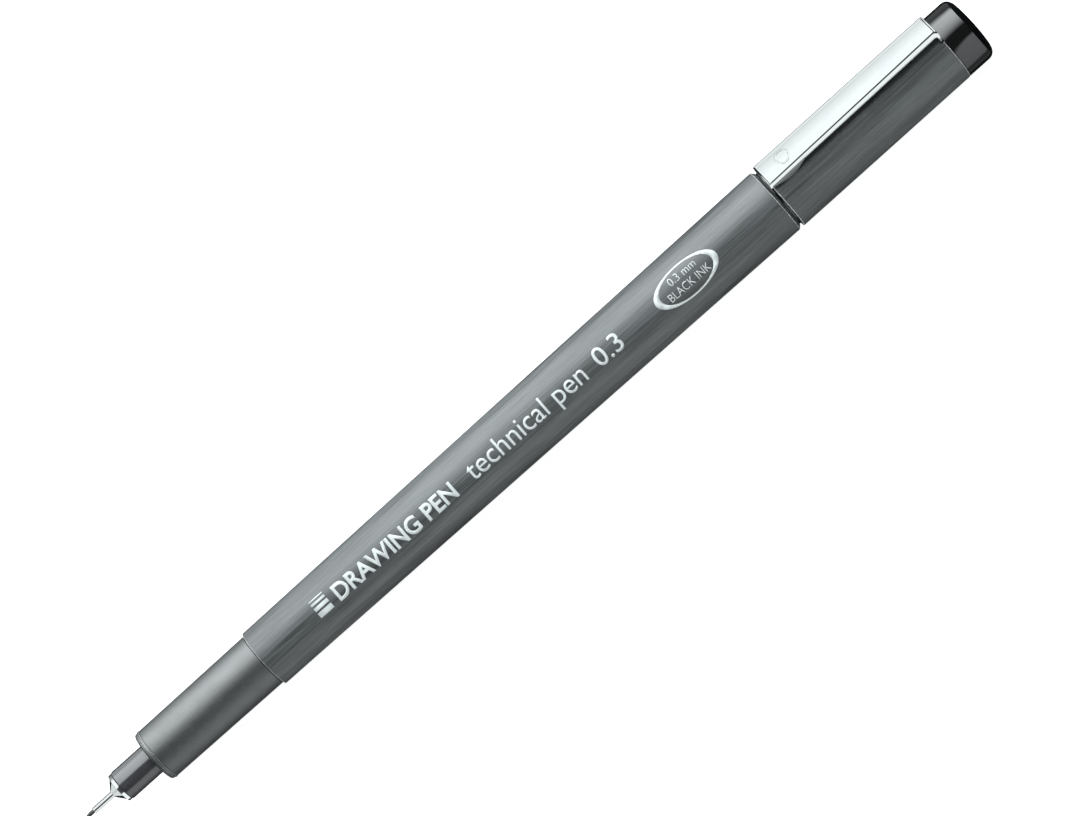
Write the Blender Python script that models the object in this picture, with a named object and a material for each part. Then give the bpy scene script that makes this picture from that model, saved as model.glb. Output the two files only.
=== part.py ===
"""Technical pen: a pigment liner with a metal-clad fibre tip, its cap posted on the back of the barrel.

The pen lies along X with its nib towards -X and its clip up. Places along the pen are stations, the
distance back from the nib's tip, and radii are measured from the pen's axis. All sizes are in metres.
"""

import math

import bmesh
import bpy

MM = 0.001

# Driving sizes: the stations of the outside features, from the nib's tip to the end of the cap.
TUBE_FRONT = 1.25 * MM
CONE_FRONT = 4.55 * MM
HOLDER_FRONT = 6.15 * MM
GRIP_FRONT = 11.65 * MM
BARREL_FRONT = 30.80 * MM
BARREL_REAR = 119.40 * MM
CLIP_FRONT = 119.50 * MM
CAP_RIM = 119.74 * MM
CAP_TAIL = 148.30 * MM
PEN_LENGTH = 152.75 * MM

# Driving sizes: the outside radii.
NIB_RADIUS = 0.30 * MM
TUBE_RADIUS = 0.45 * MM
CONE_RADIUS = 2.13 * MM
HOLDER_RADIUS = 2.22 * MM
GRIP_FRONT_RADIUS = 3.81 * MM
GRIP_REAR_RADIUS = 3.93 * MM
BARREL_FRONT_RADIUS = 4.28 * MM
BARREL_REAR_RADIUS = 4.84 * MM
END_FLANGE_RADIUS = 4.45 * MM
CAP_TAIL_RADIUS = 4.79 * MM
PLUG_RADIUS = 4.75 * MM
SPIGOT_RADIUS = 3.85 * MM
CAP_BORE_RADIUS = 4.00 * MM

# Driving sizes: the clip. Heights are above the pen's axis.
CLIP_THICKNESS = 0.35 * MM
CLIP_FRONT_HALF_WIDTH = 1.94 * MM
CLIP_TAIL_HALF_WIDTH = 1.68 * MM
CLIP_FRONT_HEIGHT = 6.59 * MM
CLIP_TAIL_HEIGHT = 7.10 * MM
CLIP_FRONT_DEPTH = 0.95 * MM
CLIP_TAIL_DEPTH = 1.25 * MM
CLIP_BEND_RADIUS = 0.90 * MM
ROOT_HALF_WIDTH = 1.82 * MM
LOBE_FRONT = 119.60 * MM
LOBE_LOWEST = 122.75 * MM
LOBE_REAR = 125.35 * MM
LOBE_DEPTH = 1.12 * MM

# Fits and small edges.
SLIP = 0.05 * MM  # between two pieces that are pushed together
EDGE = 0.12 * MM  # a broken edge
MERGE = 0.0005 * MM

ROUND = 32  # sides of a large round piece
SMALL_ROUND = 24
TINY_ROUND = 16

# The barrel's back end is the widest, so the pen's axis is one apothem of it above the table.
AXIS_HEIGHT = BARREL_REAR_RADIUS * math.cos(math.pi / ROUND)

# Stations inside the pen.
WICK_FRONT = 9.70 * MM
WICK_REAR = 46.00 * MM
WICK_RADIUS = 1.00 * MM
CONE_STEM_REAR = 9.50 * MM
CONE_STEM_RADIUS = 1.50 * MM
HOLDER_REAR = 26.00 * MM
COLLAR_FRONT = 14.00 * MM
COLLAR_REAR = 16.00 * MM
COLLAR_RADIUS = 2.60 * MM
GRIP_SPIGOT_REAR = 38.80 * MM
GRIP_SPIGOT_RADIUS = 3.30 * MM
RESERVOIR_FRONT = 41.00 * MM
RESERVOIR_REAR = 99.50 * MM
RESERVOIR_RADIUS = 3.05 * MM
WRAP_THICKNESS = 0.10 * MM
BREATHER_OFFSET = 2.20 * MM
BREATHER_RADIUS = 0.42 * MM
BREATHER_OVERRUN = 1.0 * MM
END_PLUG_FRONT = 101.00 * MM
END_PLUG_REAR = 134.05 * MM
END_PLUG_BORE = 3.00 * MM

# Stations inside the cap.
WEB_FRONT = 143.20 * MM
WEB_REAR = 144.10 * MM
SEAL_MOUTH = 139.40 * MM
SEAL_BORE_RADIUS = 2.30 * MM
SEAL_RADIUS = 2.75 * MM
SEAL_FLANGE_REAR = 145.20 * MM
SEAL_END = 151.50 * MM
STEM_FRONT = 145.30 * MM
PLUG_CAVITY_END = 151.80 * MM


def clear_scene():
    for old in list(bpy.data.objects):
        bpy.data.objects.remove(old)


def material(name, colour, roughness, metallic=0.0):
    """A plain Principled material."""
    made = bpy.data.materials.new(name)
    made.use_nodes = True
    shader = made.node_tree.nodes["Principled BSDF"]
    shader.inputs["Base Color"].default_value = (*colour, 1.0)
    shader.inputs["Roughness"].default_value = roughness
    shader.inputs["Metallic"].default_value = metallic
    made.diffuse_color = (*colour, 1.0)
    return made


def empty(name, parent=None, at=(0.0, 0.0, 0.0)):
    """An empty that carries the pieces of one body, on that body's joint axis."""
    made = bpy.data.objects.new(name, None)
    bpy.context.scene.collection.objects.link(made)
    made.parent = parent
    made.location = at
    return made


def add_object(name, bm, surface, parent, at):
    """Turns a bmesh into a named object with its normals out and its round faces smooth."""
    bmesh.ops.recalc_face_normals(bm, faces=bm.faces)
    mesh = bpy.data.meshes.new(name)
    bm.to_mesh(mesh)
    bm.free()
    if surface:
        mesh.materials.append(surface)
        mesh.shade_smooth()
        mesh.set_sharp_from_angle(angle=math.radians(30))
    made = bpy.data.objects.new(name, mesh)
    bpy.context.scene.collection.objects.link(made)
    made.parent = parent
    made.location = at
    return made


def arc(station, radius, size, start, end, steps=4):
    """Points of an arc in the (station, radius) plane. Angles are in degrees from the +station direction."""
    turns = [math.radians(start + (end - start) * i / steps) for i in range(steps + 1)]
    return [(station + size * math.cos(t), radius + size * math.sin(t)) for t in turns]


def turned(name, outline, surface, parent, sides=ROUND, origin=0.0, offset=0.0):
    """A solid turned about the pen's axis, or about a line that far below it.

    outline is a loop of (station, radius) points. It is left open where it starts and ends on the axis.
    origin is the station of the parent, and the object's own origin is at its outline's first point.
    """
    first = outline[0][0]
    bm = bmesh.new()
    half_step = math.pi / sides  # puts a flat side at the bottom
    points = []
    for station, radius in outline:
        place = (station - first, radius * math.sin(half_step), radius * math.cos(half_step))
        points.append(bm.verts.new(place))
    edges = [bm.edges.new(pair) for pair in zip(points, points[1:])]
    if outline[0][1] > 0 or outline[-1][1] > 0:
        edges.append(bm.edges.new((points[-1], points[0])))
    bmesh.ops.spin(
        bm,
        geom=points + edges,
        cent=(0, 0, 0),
        axis=(1, 0, 0),
        angle=2 * math.pi,
        steps=sides,
        use_merge=True,
    )
    bmesh.ops.remove_doubles(bm, verts=bm.verts, dist=MERGE)
    return add_object(name, bm, surface, parent, (first - origin, 0.0, -offset))


def lofted(name, sections, surface, parent):
    """A solid through a row of flat sections, each a list of points with the same count."""
    bm = bmesh.new()
    rings = [[bm.verts.new(point) for point in section] for section in sections]
    count = len(rings[0])
    for ring, following in zip(rings, rings[1:]):
        for i in range(count):
            j = (i + 1) % count
            bm.faces.new((ring[i], ring[j], following[j], following[i]))
    bm.faces.new(rings[0])
    bm.faces.new(rings[-1])
    return add_object(name, bm, surface, parent, (0.0, 0.0, 0.0))


def box_sections(low, high):
    """The two end sections of a box, for lofted()."""
    return [
        [(x, low[1], low[2]), (x, high[1], low[2]), (x, high[1], high[2]), (x, low[1], high[2])]
        for x in (low[0], high[0])
    ]


def cut(target, cutter):
    """Takes the cutter out of the target with a Boolean that stays live."""
    cutter.hide_render = True
    cutter.display_type = "WIRE"
    modifier = target.modifiers.new(f"less_{cutter.name}", "BOOLEAN")
    modifier.operation = "DIFFERENCE"
    modifier.solver = "EXACT"
    modifier.object = cutter


def between(start, end, share):
    return start + (end - start) * share


# The writing head


def build_nib(axis, surface):
    """The fibre nib: a rod with a rounded, tapered point, which runs back to the wick."""
    point_radius = 0.16 * MM
    taper_end = 0.60 * MM
    outline = arc(point_radius, 0.0, point_radius, 180, 115, 3)
    outline += [(taper_end, NIB_RADIUS), (CONE_STEM_REAR, NIB_RADIUS), (CONE_STEM_REAR, 0.0)]
    outline[0] = (0.0, 0.0)
    turned("fibre_nib", outline, surface, axis, TINY_ROUND)


def build_nib_tube(axis, surface):
    """The steel tube that clads the nib."""
    rear = 8.0 * MM
    bore = NIB_RADIUS + SLIP
    rounding = 0.04 * MM
    outline = [
        (TUBE_FRONT, bore),
        (TUBE_FRONT, TUBE_RADIUS - rounding),
        (TUBE_FRONT + rounding, TUBE_RADIUS),
        (rear, TUBE_RADIUS),
        (rear, bore),
    ]
    turned("nib_tube", outline, surface, axis, TINY_ROUND)


def build_nib_cone(axis, surface):
    """The chromed mount: a steep cone, a short rim and a stem pushed into the nib holder."""
    bore = TUBE_RADIUS + SLIP
    rim_front = 5.40 * MM
    rim_rear = HOLDER_FRONT - SLIP
    outline = [
        (CONE_FRONT, bore),
        (CONE_FRONT, bore + EDGE),
        (rim_front - EDGE / 2, CONE_RADIUS - 1.5 * EDGE),
        (rim_front + EDGE / 2, CONE_RADIUS - EDGE / 2),
        (rim_rear, CONE_RADIUS),
        (rim_rear, CONE_STEM_RADIUS),
        (CONE_STEM_REAR, CONE_STEM_RADIUS),
        (CONE_STEM_REAR, bore),
    ]
    turned("nib_cone", outline, surface, axis, SMALL_ROUND)


def build_nib_holder(axis, surface):
    """The glossy holder: its front shows, and its collar stops it inside the grip."""
    stem_bore = CONE_STEM_RADIUS + SLIP
    wick_bore = WICK_RADIUS + SLIP
    tail_radius = 2.0 * MM
    bore_step = CONE_STEM_REAR + SLIP
    outline = [
        (HOLDER_FRONT, stem_bore),
        (HOLDER_FRONT, HOLDER_RADIUS - EDGE),
        (HOLDER_FRONT + EDGE, HOLDER_RADIUS),
        (COLLAR_FRONT, HOLDER_RADIUS),
        (COLLAR_FRONT, COLLAR_RADIUS),
        (COLLAR_REAR, COLLAR_RADIUS),
        (COLLAR_REAR, tail_radius),
        (HOLDER_REAR, tail_radius),
        (HOLDER_REAR, wick_bore),
        (bore_step, wick_bore),
        (bore_step, stem_bore),
    ]
    turned("nib_holder", outline, surface, axis, SMALL_ROUND)


def build_feed_wick(axis, surface):
    """The fibre rod that feeds the nib from the reservoir."""
    outline = [(WICK_FRONT, 0.0), (WICK_FRONT, WICK_RADIUS), (WICK_REAR, WICK_RADIUS), (WICK_REAR, 0.0)]
    turned("feed_wick", outline, surface, axis, TINY_ROUND)


def build_grip_section(axis, surface):
    """The matt grip: a beaded front edge, a gentle taper, and a spigot pushed into the barrel."""
    nose_bore = HOLDER_RADIUS + 1.5 * SLIP
    rear_bore = COLLAR_RADIUS + SLIP
    bead_radius = GRIP_FRONT_RADIUS + 0.05 * MM
    bead_rear = GRIP_FRONT + 0.70 * MM
    rounding = 0.35 * MM
    step = COLLAR_FRONT - SLIP
    outline = [(GRIP_FRONT, nose_bore), (GRIP_FRONT, bead_radius - rounding)]
    outline += arc(GRIP_FRONT + rounding, bead_radius - rounding, rounding, 150, 90, 2)
    outline += [
        (bead_rear, bead_radius),
        (bead_rear, GRIP_FRONT_RADIUS),
        (BARREL_FRONT - SLIP, GRIP_REAR_RADIUS),
        (BARREL_FRONT - SLIP, GRIP_SPIGOT_RADIUS),
        (GRIP_SPIGOT_REAR, GRIP_SPIGOT_RADIUS),
        (GRIP_SPIGOT_REAR, rear_bore),
        (step, rear_bore),
        (step, nose_bore),
    ]
    turned("grip_section", outline, surface, axis)


# The body


def build_barrel(axis, surface):
    """The tapered barrel tube, open at both ends."""
    front_bore = GRIP_SPIGOT_RADIUS + SLIP
    rear_bore = SPIGOT_RADIUS + SLIP
    socket_rear = GRIP_SPIGOT_REAR + 10 * SLIP
    middle_bore = 3.50 * MM
    shoulder = 0.38 * MM
    outline = [
        (BARREL_FRONT, front_bore),
        (BARREL_FRONT, BARREL_FRONT_RADIUS - EDGE / 2),
        (BARREL_FRONT + EDGE / 2, BARREL_FRONT_RADIUS),
        (BARREL_REAR - shoulder, BARREL_REAR_RADIUS),
        (BARREL_REAR, BARREL_REAR_RADIUS - shoulder),
        (BARREL_REAR, rear_bore),
        (END_PLUG_FRONT, rear_bore),
        (socket_rear, middle_bore),
        (socket_rear, front_bore),
    ]
    turned("barrel", outline, surface, axis)


def build_reservoir_core(axis, surface):
    """The fibre bundle that stores the ink. The wick sits in its front end, and a channel runs along it."""
    wick_bore = WICK_RADIUS + SLIP
    pocket_end = WICK_REAR + 10 * SLIP
    core = turned(
        "reservoir_core",
        [
            (pocket_end, 0.0),
            (pocket_end, wick_bore),
            (RESERVOIR_FRONT, wick_bore),
            (RESERVOIR_FRONT, RESERVOIR_RADIUS),
            (RESERVOIR_REAR, RESERVOIR_RADIUS),
            (RESERVOIR_REAR, 0.0),
        ],
        surface,
        axis,
        SMALL_ROUND,
    )
    channel_radius = BREATHER_RADIUS + SLIP
    channel_front = RESERVOIR_FRONT - BREATHER_OVERRUN
    channel_rear = RESERVOIR_REAR + BREATHER_OVERRUN
    channel = turned(
        "breather_channel",
        [
            (channel_front, 0.0),
            (channel_front, channel_radius),
            (channel_rear, channel_radius),
            (channel_rear, 0.0),
        ],
        None,
        axis,
        TINY_ROUND,
        offset=BREATHER_OFFSET,
    )
    cut(core, channel)


def build_reservoir_wrap(axis, surface):
    """The film wrapped round the fibre bundle, a little longer than it at both ends."""
    overhang = 0.5 * MM
    front = RESERVOIR_FRONT - overhang
    rear = RESERVOIR_REAR + overhang
    bore = RESERVOIR_RADIUS + SLIP
    outside = bore + WRAP_THICKNESS
    outline = [(front, bore), (front, outside), (rear, outside), (rear, bore)]
    turned("reservoir_wrap", outline, surface, axis, SMALL_ROUND)


def build_breather_tube(axis, surface):
    """The fine tube along the bundle that lets air in behind the ink."""
    bore = 0.25 * MM
    front = RESERVOIR_FRONT - BREATHER_OVERRUN
    rear = END_PLUG_FRONT + BREATHER_OVERRUN
    outline = [(front, bore), (front, BREATHER_RADIUS), (rear, BREATHER_RADIUS), (rear, bore)]
    turned("breather_tube", outline, surface, axis, TINY_ROUND, offset=BREATHER_OFFSET)


def build_barrel_end_plug(axis, surface):
    """The plug that closes the barrel: a thin flange on the barrel's end, and the spigot for the cap."""
    flange_front = BARREL_REAR + SLIP
    flange_rear = CAP_RIM - SLIP
    end_wall = 1.2 * MM
    edge = 0.4 * MM
    bead_front = 127.0 * MM
    bead_height = 0.08 * MM
    bead_length = 0.8 * MM
    cavity_end = END_PLUG_REAR - end_wall
    outline = [
        (cavity_end, 0.0),
        (cavity_end, END_PLUG_BORE),
        (END_PLUG_FRONT + SLIP, END_PLUG_BORE),
        (END_PLUG_FRONT + SLIP, SPIGOT_RADIUS),
        (flange_front, SPIGOT_RADIUS),
        (flange_front, END_FLANGE_RADIUS),
        (flange_rear, END_FLANGE_RADIUS),
        (flange_rear, SPIGOT_RADIUS),
        (bead_front, SPIGOT_RADIUS),
        (bead_front + bead_height, SPIGOT_RADIUS + bead_height),
        (bead_front + bead_length, SPIGOT_RADIUS + bead_height),
        (bead_front + bead_length + bead_height, SPIGOT_RADIUS),
        (END_PLUG_REAR - edge, SPIGOT_RADIUS),
        (END_PLUG_REAR, SPIGOT_RADIUS - edge),
        (END_PLUG_REAR, 0.0),
    ]
    turned("barrel_end_plug", outline, surface, axis)


# The cap


def build_cap_inner_seal(slide, surface):
    """The soft cup that closes round the nib holder when the pen is capped."""
    wall_end = SEAL_END - 0.5 * MM
    flange_front = WEB_REAR + SLIP
    flange_radius = CAP_BORE_RADIUS - 1.5 * SLIP
    outline = [
        (wall_end, 0.0),
        (wall_end, SEAL_BORE_RADIUS),
        (SEAL_MOUTH + EDGE, SEAL_BORE_RADIUS),
        (SEAL_MOUTH, SEAL_BORE_RADIUS + EDGE),
        (SEAL_MOUTH, SEAL_RADIUS - EDGE),
        (SEAL_MOUTH + EDGE, SEAL_RADIUS),
        (flange_front, SEAL_RADIUS),
        (flange_front, flange_radius),
        (SEAL_FLANGE_REAR, flange_radius),
        (SEAL_FLANGE_REAR, SEAL_RADIUS),
        (SEAL_END, SEAL_RADIUS),
        (SEAL_END, 0.0),
    ]
    turned("cap_inner_seal", outline, surface, slide, SMALL_ROUND, origin=CAP_RIM)


def build_cap_shell(turn, surface):
    """The cap's outer shell, with an inner web that the seal rests on and a notch for the clip."""
    mouth_edge = 0.20 * MM
    web_bore = SEAL_RADIUS + 2 * SLIP
    outline = [
        (CAP_RIM + mouth_edge, CAP_BORE_RADIUS),
        (CAP_RIM, CAP_BORE_RADIUS + mouth_edge),
        (CAP_RIM, BARREL_REAR_RADIUS - EDGE),
        (CAP_RIM + EDGE, BARREL_REAR_RADIUS),
        (CAP_TAIL - EDGE / 2, CAP_TAIL_RADIUS),
        (CAP_TAIL, CAP_TAIL_RADIUS - EDGE / 2),
        (CAP_TAIL, CAP_BORE_RADIUS),
        (WEB_REAR, CAP_BORE_RADIUS),
        (WEB_REAR, web_bore),
        (WEB_FRONT, web_bore),
        (WEB_FRONT, CAP_BORE_RADIUS),
    ]
    shell = turned("cap_shell", outline, surface, turn, origin=CAP_RIM)
    notch_side = ROOT_HALF_WIDTH + 2 * SLIP
    notch = lofted(
        "clip_notch",
        box_sections(
            (CAP_TAIL - CLIP_THICKNESS - 2 * SLIP - CAP_RIM, -notch_side, CAP_BORE_RADIUS / 2),
            (PEN_LENGTH - CAP_RIM, notch_side, CLIP_TAIL_HEIGHT),
        ),
        None,
        turn,
    )
    cut(shell, notch)


def build_cap_end_plug(turn, surface):
    """The black plug: a rounded end that shows, and a stem slotted for the clip's tongue."""
    shoulder = CAP_TAIL + SLIP
    stem_radius = CAP_BORE_RADIUS - 1.5 * SLIP
    cavity_radius = SEAL_RADIUS + 2 * SLIP
    rounding = 1.1 * MM
    outline = [
        (PLUG_CAVITY_END, 0.0),
        (PLUG_CAVITY_END, cavity_radius),
        (STEM_FRONT, cavity_radius),
        (STEM_FRONT, stem_radius),
        (shoulder, stem_radius),
        (shoulder, PLUG_RADIUS),
    ]
    outline += arc(PEN_LENGTH - rounding, PLUG_RADIUS - rounding, rounding, 90, 0, 4)
    outline += [(PEN_LENGTH, 0.0)]
    plug = turned("cap_end_plug", outline, surface, turn, origin=CAP_RIM)
    slot = lofted(
        "tongue_slot",
        box_sections(
            (STEM_FRONT - 10 * SLIP - CAP_RIM, -ROOT_HALF_WIDTH - SLIP, tongue_low() - SLIP),
            (CAP_TAIL + SLIP / 2 - CAP_RIM, ROOT_HALF_WIDTH + SLIP, CLIP_TAIL_HEIGHT),
        ),
        None,
        turn,
    )
    cut(plug, slot)


def tongue_low():
    """Height of the underside of the clip's tongue, which lies just inside the cap's bore."""
    return 3.70 * MM - CLIP_THICKNESS


def build_clip_root(turn, surface):
    """The clip's fixed end: a quarter bend, an upright plate in the shell's notch, and a tongue."""
    bend_x = CAP_TAIL - CLIP_BEND_RADIUS - CAP_RIM
    bend_z = CLIP_TAIL_HEIGHT - CLIP_BEND_RADIUS
    inner = CLIP_BEND_RADIUS - CLIP_THICKNESS
    low = tongue_low()
    tongue_front = STEM_FRONT + 4 * SLIP - CAP_RIM
    plate_front = CAP_TAIL - CLIP_THICKNESS - CAP_RIM
    tail = CAP_TAIL - CAP_RIM
    outside = arc(bend_x, bend_z, CLIP_BEND_RADIUS, 90, 0, 4)
    inside = arc(bend_x, bend_z, inner, 0, 90, 4)
    plate_low = low + CLIP_THICKNESS
    shoulder = plate_low + CLIP_THICKNESS
    side = outside + [(tail, shoulder), (tail, low), (tongue_front, low), (tongue_front, plate_low)]
    side += [(plate_front, plate_low), (plate_front, shoulder)] + inside
    sections = []
    for sign in (-1, 1):
        sections.append([(x, sign * root_half_width(z, shoulder), z) for x, z in side])
    lofted("clip_root", sections, surface, turn)


def root_half_width(height, shoulder):
    """The root is widest at its shoulder in the notch. It narrows to the arm above and the tongue below."""
    tongue_half_width = 1.30 * MM
    if height < shoulder:
        return tongue_half_width
    share = min(1.0, (height - shoulder) / (CLIP_TAIL_HEIGHT - CLIP_BEND_RADIUS - shoulder))
    return between(ROOT_HALF_WIDTH, CLIP_TAIL_HALF_WIDTH, share)


def lobe_drop(station):
    """How far the flanges reach down into the lobes that press on the cap, near the clip's free end."""
    if not LOBE_FRONT < station < LOBE_REAR:
        return 0.0
    if station < LOBE_LOWEST:
        share = (station - LOBE_FRONT) / (LOBE_LOWEST - LOBE_FRONT)
    else:
        share = (LOBE_REAR - station) / (LOBE_REAR - LOBE_LOWEST)
    return LOBE_DEPTH * math.sin(share * math.pi / 2) ** 1.5


def flange_depth(station, pivot):
    share = (station - CLIP_FRONT) / (pivot[0] - CLIP_FRONT)
    return between(CLIP_FRONT_DEPTH, CLIP_TAIL_DEPTH, share)


def arm_section(station, pivot, wall, reach):
    """The arm's cross-section, a wall inside its outer faces and reaching that far down from its top.

    The outside, with no wall, has its two upper corners broken.
    """
    share = (station - CLIP_FRONT) / (pivot[0] - CLIP_FRONT)
    side = between(CLIP_FRONT_HALF_WIDTH, CLIP_TAIL_HALF_WIDTH, share) - wall
    top = between(CLIP_FRONT_HEIGHT, CLIP_TAIL_HEIGHT, share) - wall - pivot[1]
    x = station - pivot[0]
    low = top - reach
    if wall:
        return [(x, -side, low), (x, side, low), (x, side, top), (x, -side, top)]
    return [
        (x, -side, low),
        (x, side, low),
        (x, side, top - EDGE),
        (x, side - EDGE, top),
        (x, -side + EDGE, top),
        (x, -side, top - EDGE),
    ]


def build_clip_arm(flex, surface, pivot):
    """The clip's springy arm: a channel with its flanges down, a closed front end and two lobes."""
    rear = pivot[0] - 2 * SLIP
    lobe_steps = 8
    lobes = [between(LOBE_FRONT, LOBE_REAR, i / lobe_steps) for i in range(lobe_steps + 1)]
    outside = [
        arm_section(station, pivot, 0.0, flange_depth(station, pivot) + lobe_drop(station))
        for station in [CLIP_FRONT, *lobes, rear]
    ]
    hollow = [
        arm_section(station, pivot, CLIP_THICKNESS, 3 * CLIP_TAIL_DEPTH)
        for station in (CLIP_FRONT + CLIP_THICKNESS, pivot[0] + CLIP_BEND_RADIUS)
    ]
    arm = lofted("clip_arm", outside, surface, flex)
    cut(arm, lofted("clip_channel", hollow, None, flex))


def build_pen():
    clear_scene()
    brushed_grey = material("brushed_grey", (0.115, 0.125, 0.13), 0.38, 0.6)
    matt_grey = material("matt_grey", (0.12, 0.13, 0.135), 0.5, 0.4)
    holder_grey = material("holder_grey", (0.08, 0.08, 0.085), 0.2)
    gloss_black = material("gloss_black", (0.008, 0.008, 0.008), 0.12)
    chrome = material("chrome", (0.85, 0.86, 0.86), 0.08, 1.0)
    steel = material("steel", (0.75, 0.75, 0.76), 0.12, 1.0)
    nib_black = material("nib_black", (0.02, 0.02, 0.02), 0.7)
    fibre = material("ink_fibre", (0.03, 0.03, 0.035), 0.95)
    film = material("clear_film", (0.7, 0.72, 0.74), 0.3)
    natural = material("natural_plastic", (0.75, 0.75, 0.72), 0.45)

    axis = empty("pen_axis", at=(-PEN_LENGTH / 2, 0.0, AXIS_HEIGHT))
    build_nib(axis, nib_black)
    build_nib_tube(axis, steel)
    build_nib_cone(axis, chrome)
    build_nib_holder(axis, holder_grey)
    build_feed_wick(axis, fibre)
    build_grip_section(axis, matt_grey)
    build_barrel(axis, brushed_grey)
    build_reservoir_core(axis, fibre)
    build_reservoir_wrap(axis, film)
    build_breather_tube(axis, natural)
    build_barrel_end_plug(axis, gloss_black)

    cap_pull = empty("cap_pull", axis, (CAP_RIM, 0.0, 0.0))
    build_cap_inner_seal(cap_pull, natural)

    cap_turn = empty("cap_turn", cap_pull)
    build_cap_shell(cap_turn, brushed_grey)
    build_cap_end_plug(cap_turn, gloss_black)
    build_clip_root(cap_turn, chrome)

    pivot = (CAP_TAIL - CLIP_BEND_RADIUS, CLIP_TAIL_HEIGHT - CLIP_BEND_RADIUS)
    clip_flex = empty("clip_flex", cap_turn, (pivot[0] - CAP_RIM, 0.0, pivot[1]))
    build_clip_arm(clip_flex, chrome, pivot)


build_pen()
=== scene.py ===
"""Looks of the technical pen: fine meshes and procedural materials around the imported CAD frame.

Lengths are in metres, in the frame of the CAD: the pen lies along X with its nib towards -X and its clip up.
"""

import math
from collections import namedtuple

import bmesh
import bpy
from mathutils import Matrix, Vector


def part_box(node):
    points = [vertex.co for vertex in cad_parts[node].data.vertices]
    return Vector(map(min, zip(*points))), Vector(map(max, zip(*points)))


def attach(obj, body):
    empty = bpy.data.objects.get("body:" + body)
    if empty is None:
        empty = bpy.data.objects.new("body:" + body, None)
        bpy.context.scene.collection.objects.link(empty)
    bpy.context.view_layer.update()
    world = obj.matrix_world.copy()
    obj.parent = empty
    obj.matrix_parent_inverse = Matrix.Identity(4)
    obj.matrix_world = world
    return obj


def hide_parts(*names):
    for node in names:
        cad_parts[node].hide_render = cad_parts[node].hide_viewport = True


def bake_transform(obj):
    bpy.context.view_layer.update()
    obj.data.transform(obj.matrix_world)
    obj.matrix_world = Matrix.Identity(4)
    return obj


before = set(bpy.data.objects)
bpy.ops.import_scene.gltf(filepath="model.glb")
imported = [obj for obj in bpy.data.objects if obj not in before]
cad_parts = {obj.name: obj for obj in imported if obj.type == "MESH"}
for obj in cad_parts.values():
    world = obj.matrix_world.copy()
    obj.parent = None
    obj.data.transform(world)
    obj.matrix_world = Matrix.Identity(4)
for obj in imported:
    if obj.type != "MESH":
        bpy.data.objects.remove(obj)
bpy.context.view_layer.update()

MM = 0.001

# The pen's axis runs along X through this point, as high as the barrel's widest radius.
AXIS = (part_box("barrel")[0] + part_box("barrel")[1]) / 2
AXIS.x = 0.0

SIDES = 160  # round a turned piece
ARC_STEPS = 6  # round a small edge
SHARP_ANGLE = math.radians(32)  # edges that bend more than this are not shaded smooth
SLIP = 0.05 * MM  # between two pieces that are pushed together

# Sizes that the nodes' boxes don't give.
NIB_POINT = 0.15 * MM
CONE_STEM_RADIUS = 1.48 * MM
CONE_STEM_LENGTH = 3.50 * MM
COLLAR_SETBACK = 8.00 * MM
COLLAR_LENGTH = 2.00 * MM
HOLDER_RADIUS = 2.21 * MM
HOLDER_TAIL_RADIUS = 1.98 * MM
WICK_BORE = 1.05 * MM
GRIP_TAPER = 0.12 * MM
GRIP_SPIGOT_RADIUS = 3.27 * MM
BARREL_TAPER = 0.56 * MM
BARREL_CHAMFER = 0.38 * MM
BARREL_BORE = 3.45 * MM
CAP_TAPER = 0.05 * MM
CAP_BORE = 3.96 * MM
SPIGOT_RADIUS = 3.83 * MM
SPIGOT_BEAD = 0.08 * MM

# The camera sees the pen from its clip's side, this far round from the clip, and squarely at this place.
VIEW_FROM_CLIP = math.radians(33.5)
CAMERA_DISTANCE = 548 * MM
CAMERA_FOOT = 17.6 * MM
CAMERA_AIM = (2.47 * MM, 0.345 * MM)  # along the pen, and across it on the clip's side
PEN_SLOPE = math.radians(41.82)  # in the picture
LENS = 142.1  # focal length in mm, for a sensor 36 mm wide


def round_pen(angle):
    """The direction outwards at an angle from the camera's side, which is positive towards the clip."""
    turned_by = angle - VIEW_FROM_CLIP
    return Vector((0.0, math.sin(turned_by), math.cos(turned_by)))


def reach(node):
    """Where a CAD node starts and ends along the pen, and the radius that its box gives."""
    low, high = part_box(node)
    return low.x, high.x, (high.y - low.y) / 2


def as_mesh(name, bm):
    """Turns a bmesh into a mesh and frees it."""
    mesh = bpy.data.meshes.new(name)
    bm.to_mesh(mesh)
    bm.free()
    return mesh


def add_object(name, data):
    """Puts a new object into the scene."""
    added = bpy.data.objects.new(name, data)
    bpy.context.scene.collection.objects.link(added)
    return added


def join_rows(bm, rows):
    """Fills the strips between neighbouring rows of points with faces."""
    for row, following in zip(rows, rows[1:]):
        for k in range(len(row) - 1):
            bm.faces.new((row[k], row[k + 1], following[k + 1], following[k]))


def show(mesh, name, body, nodes, surfaces):
    """Makes a finished mesh a piece that rides on its body and stands for its CAD nodes."""
    for surface in surfaces:
        mesh.materials.append(surface)
    mesh.shade_smooth()
    mesh.set_sharp_from_angle(angle=SHARP_ANGLE)
    piece = add_object(name, mesh)
    if nodes:
        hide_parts(*nodes)
    if body:
        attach(piece, body)
    return piece


# Turned pieces


Corner = namedtuple("Corner", "x radius rounding number", defaults=(0.0, 0))


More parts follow.
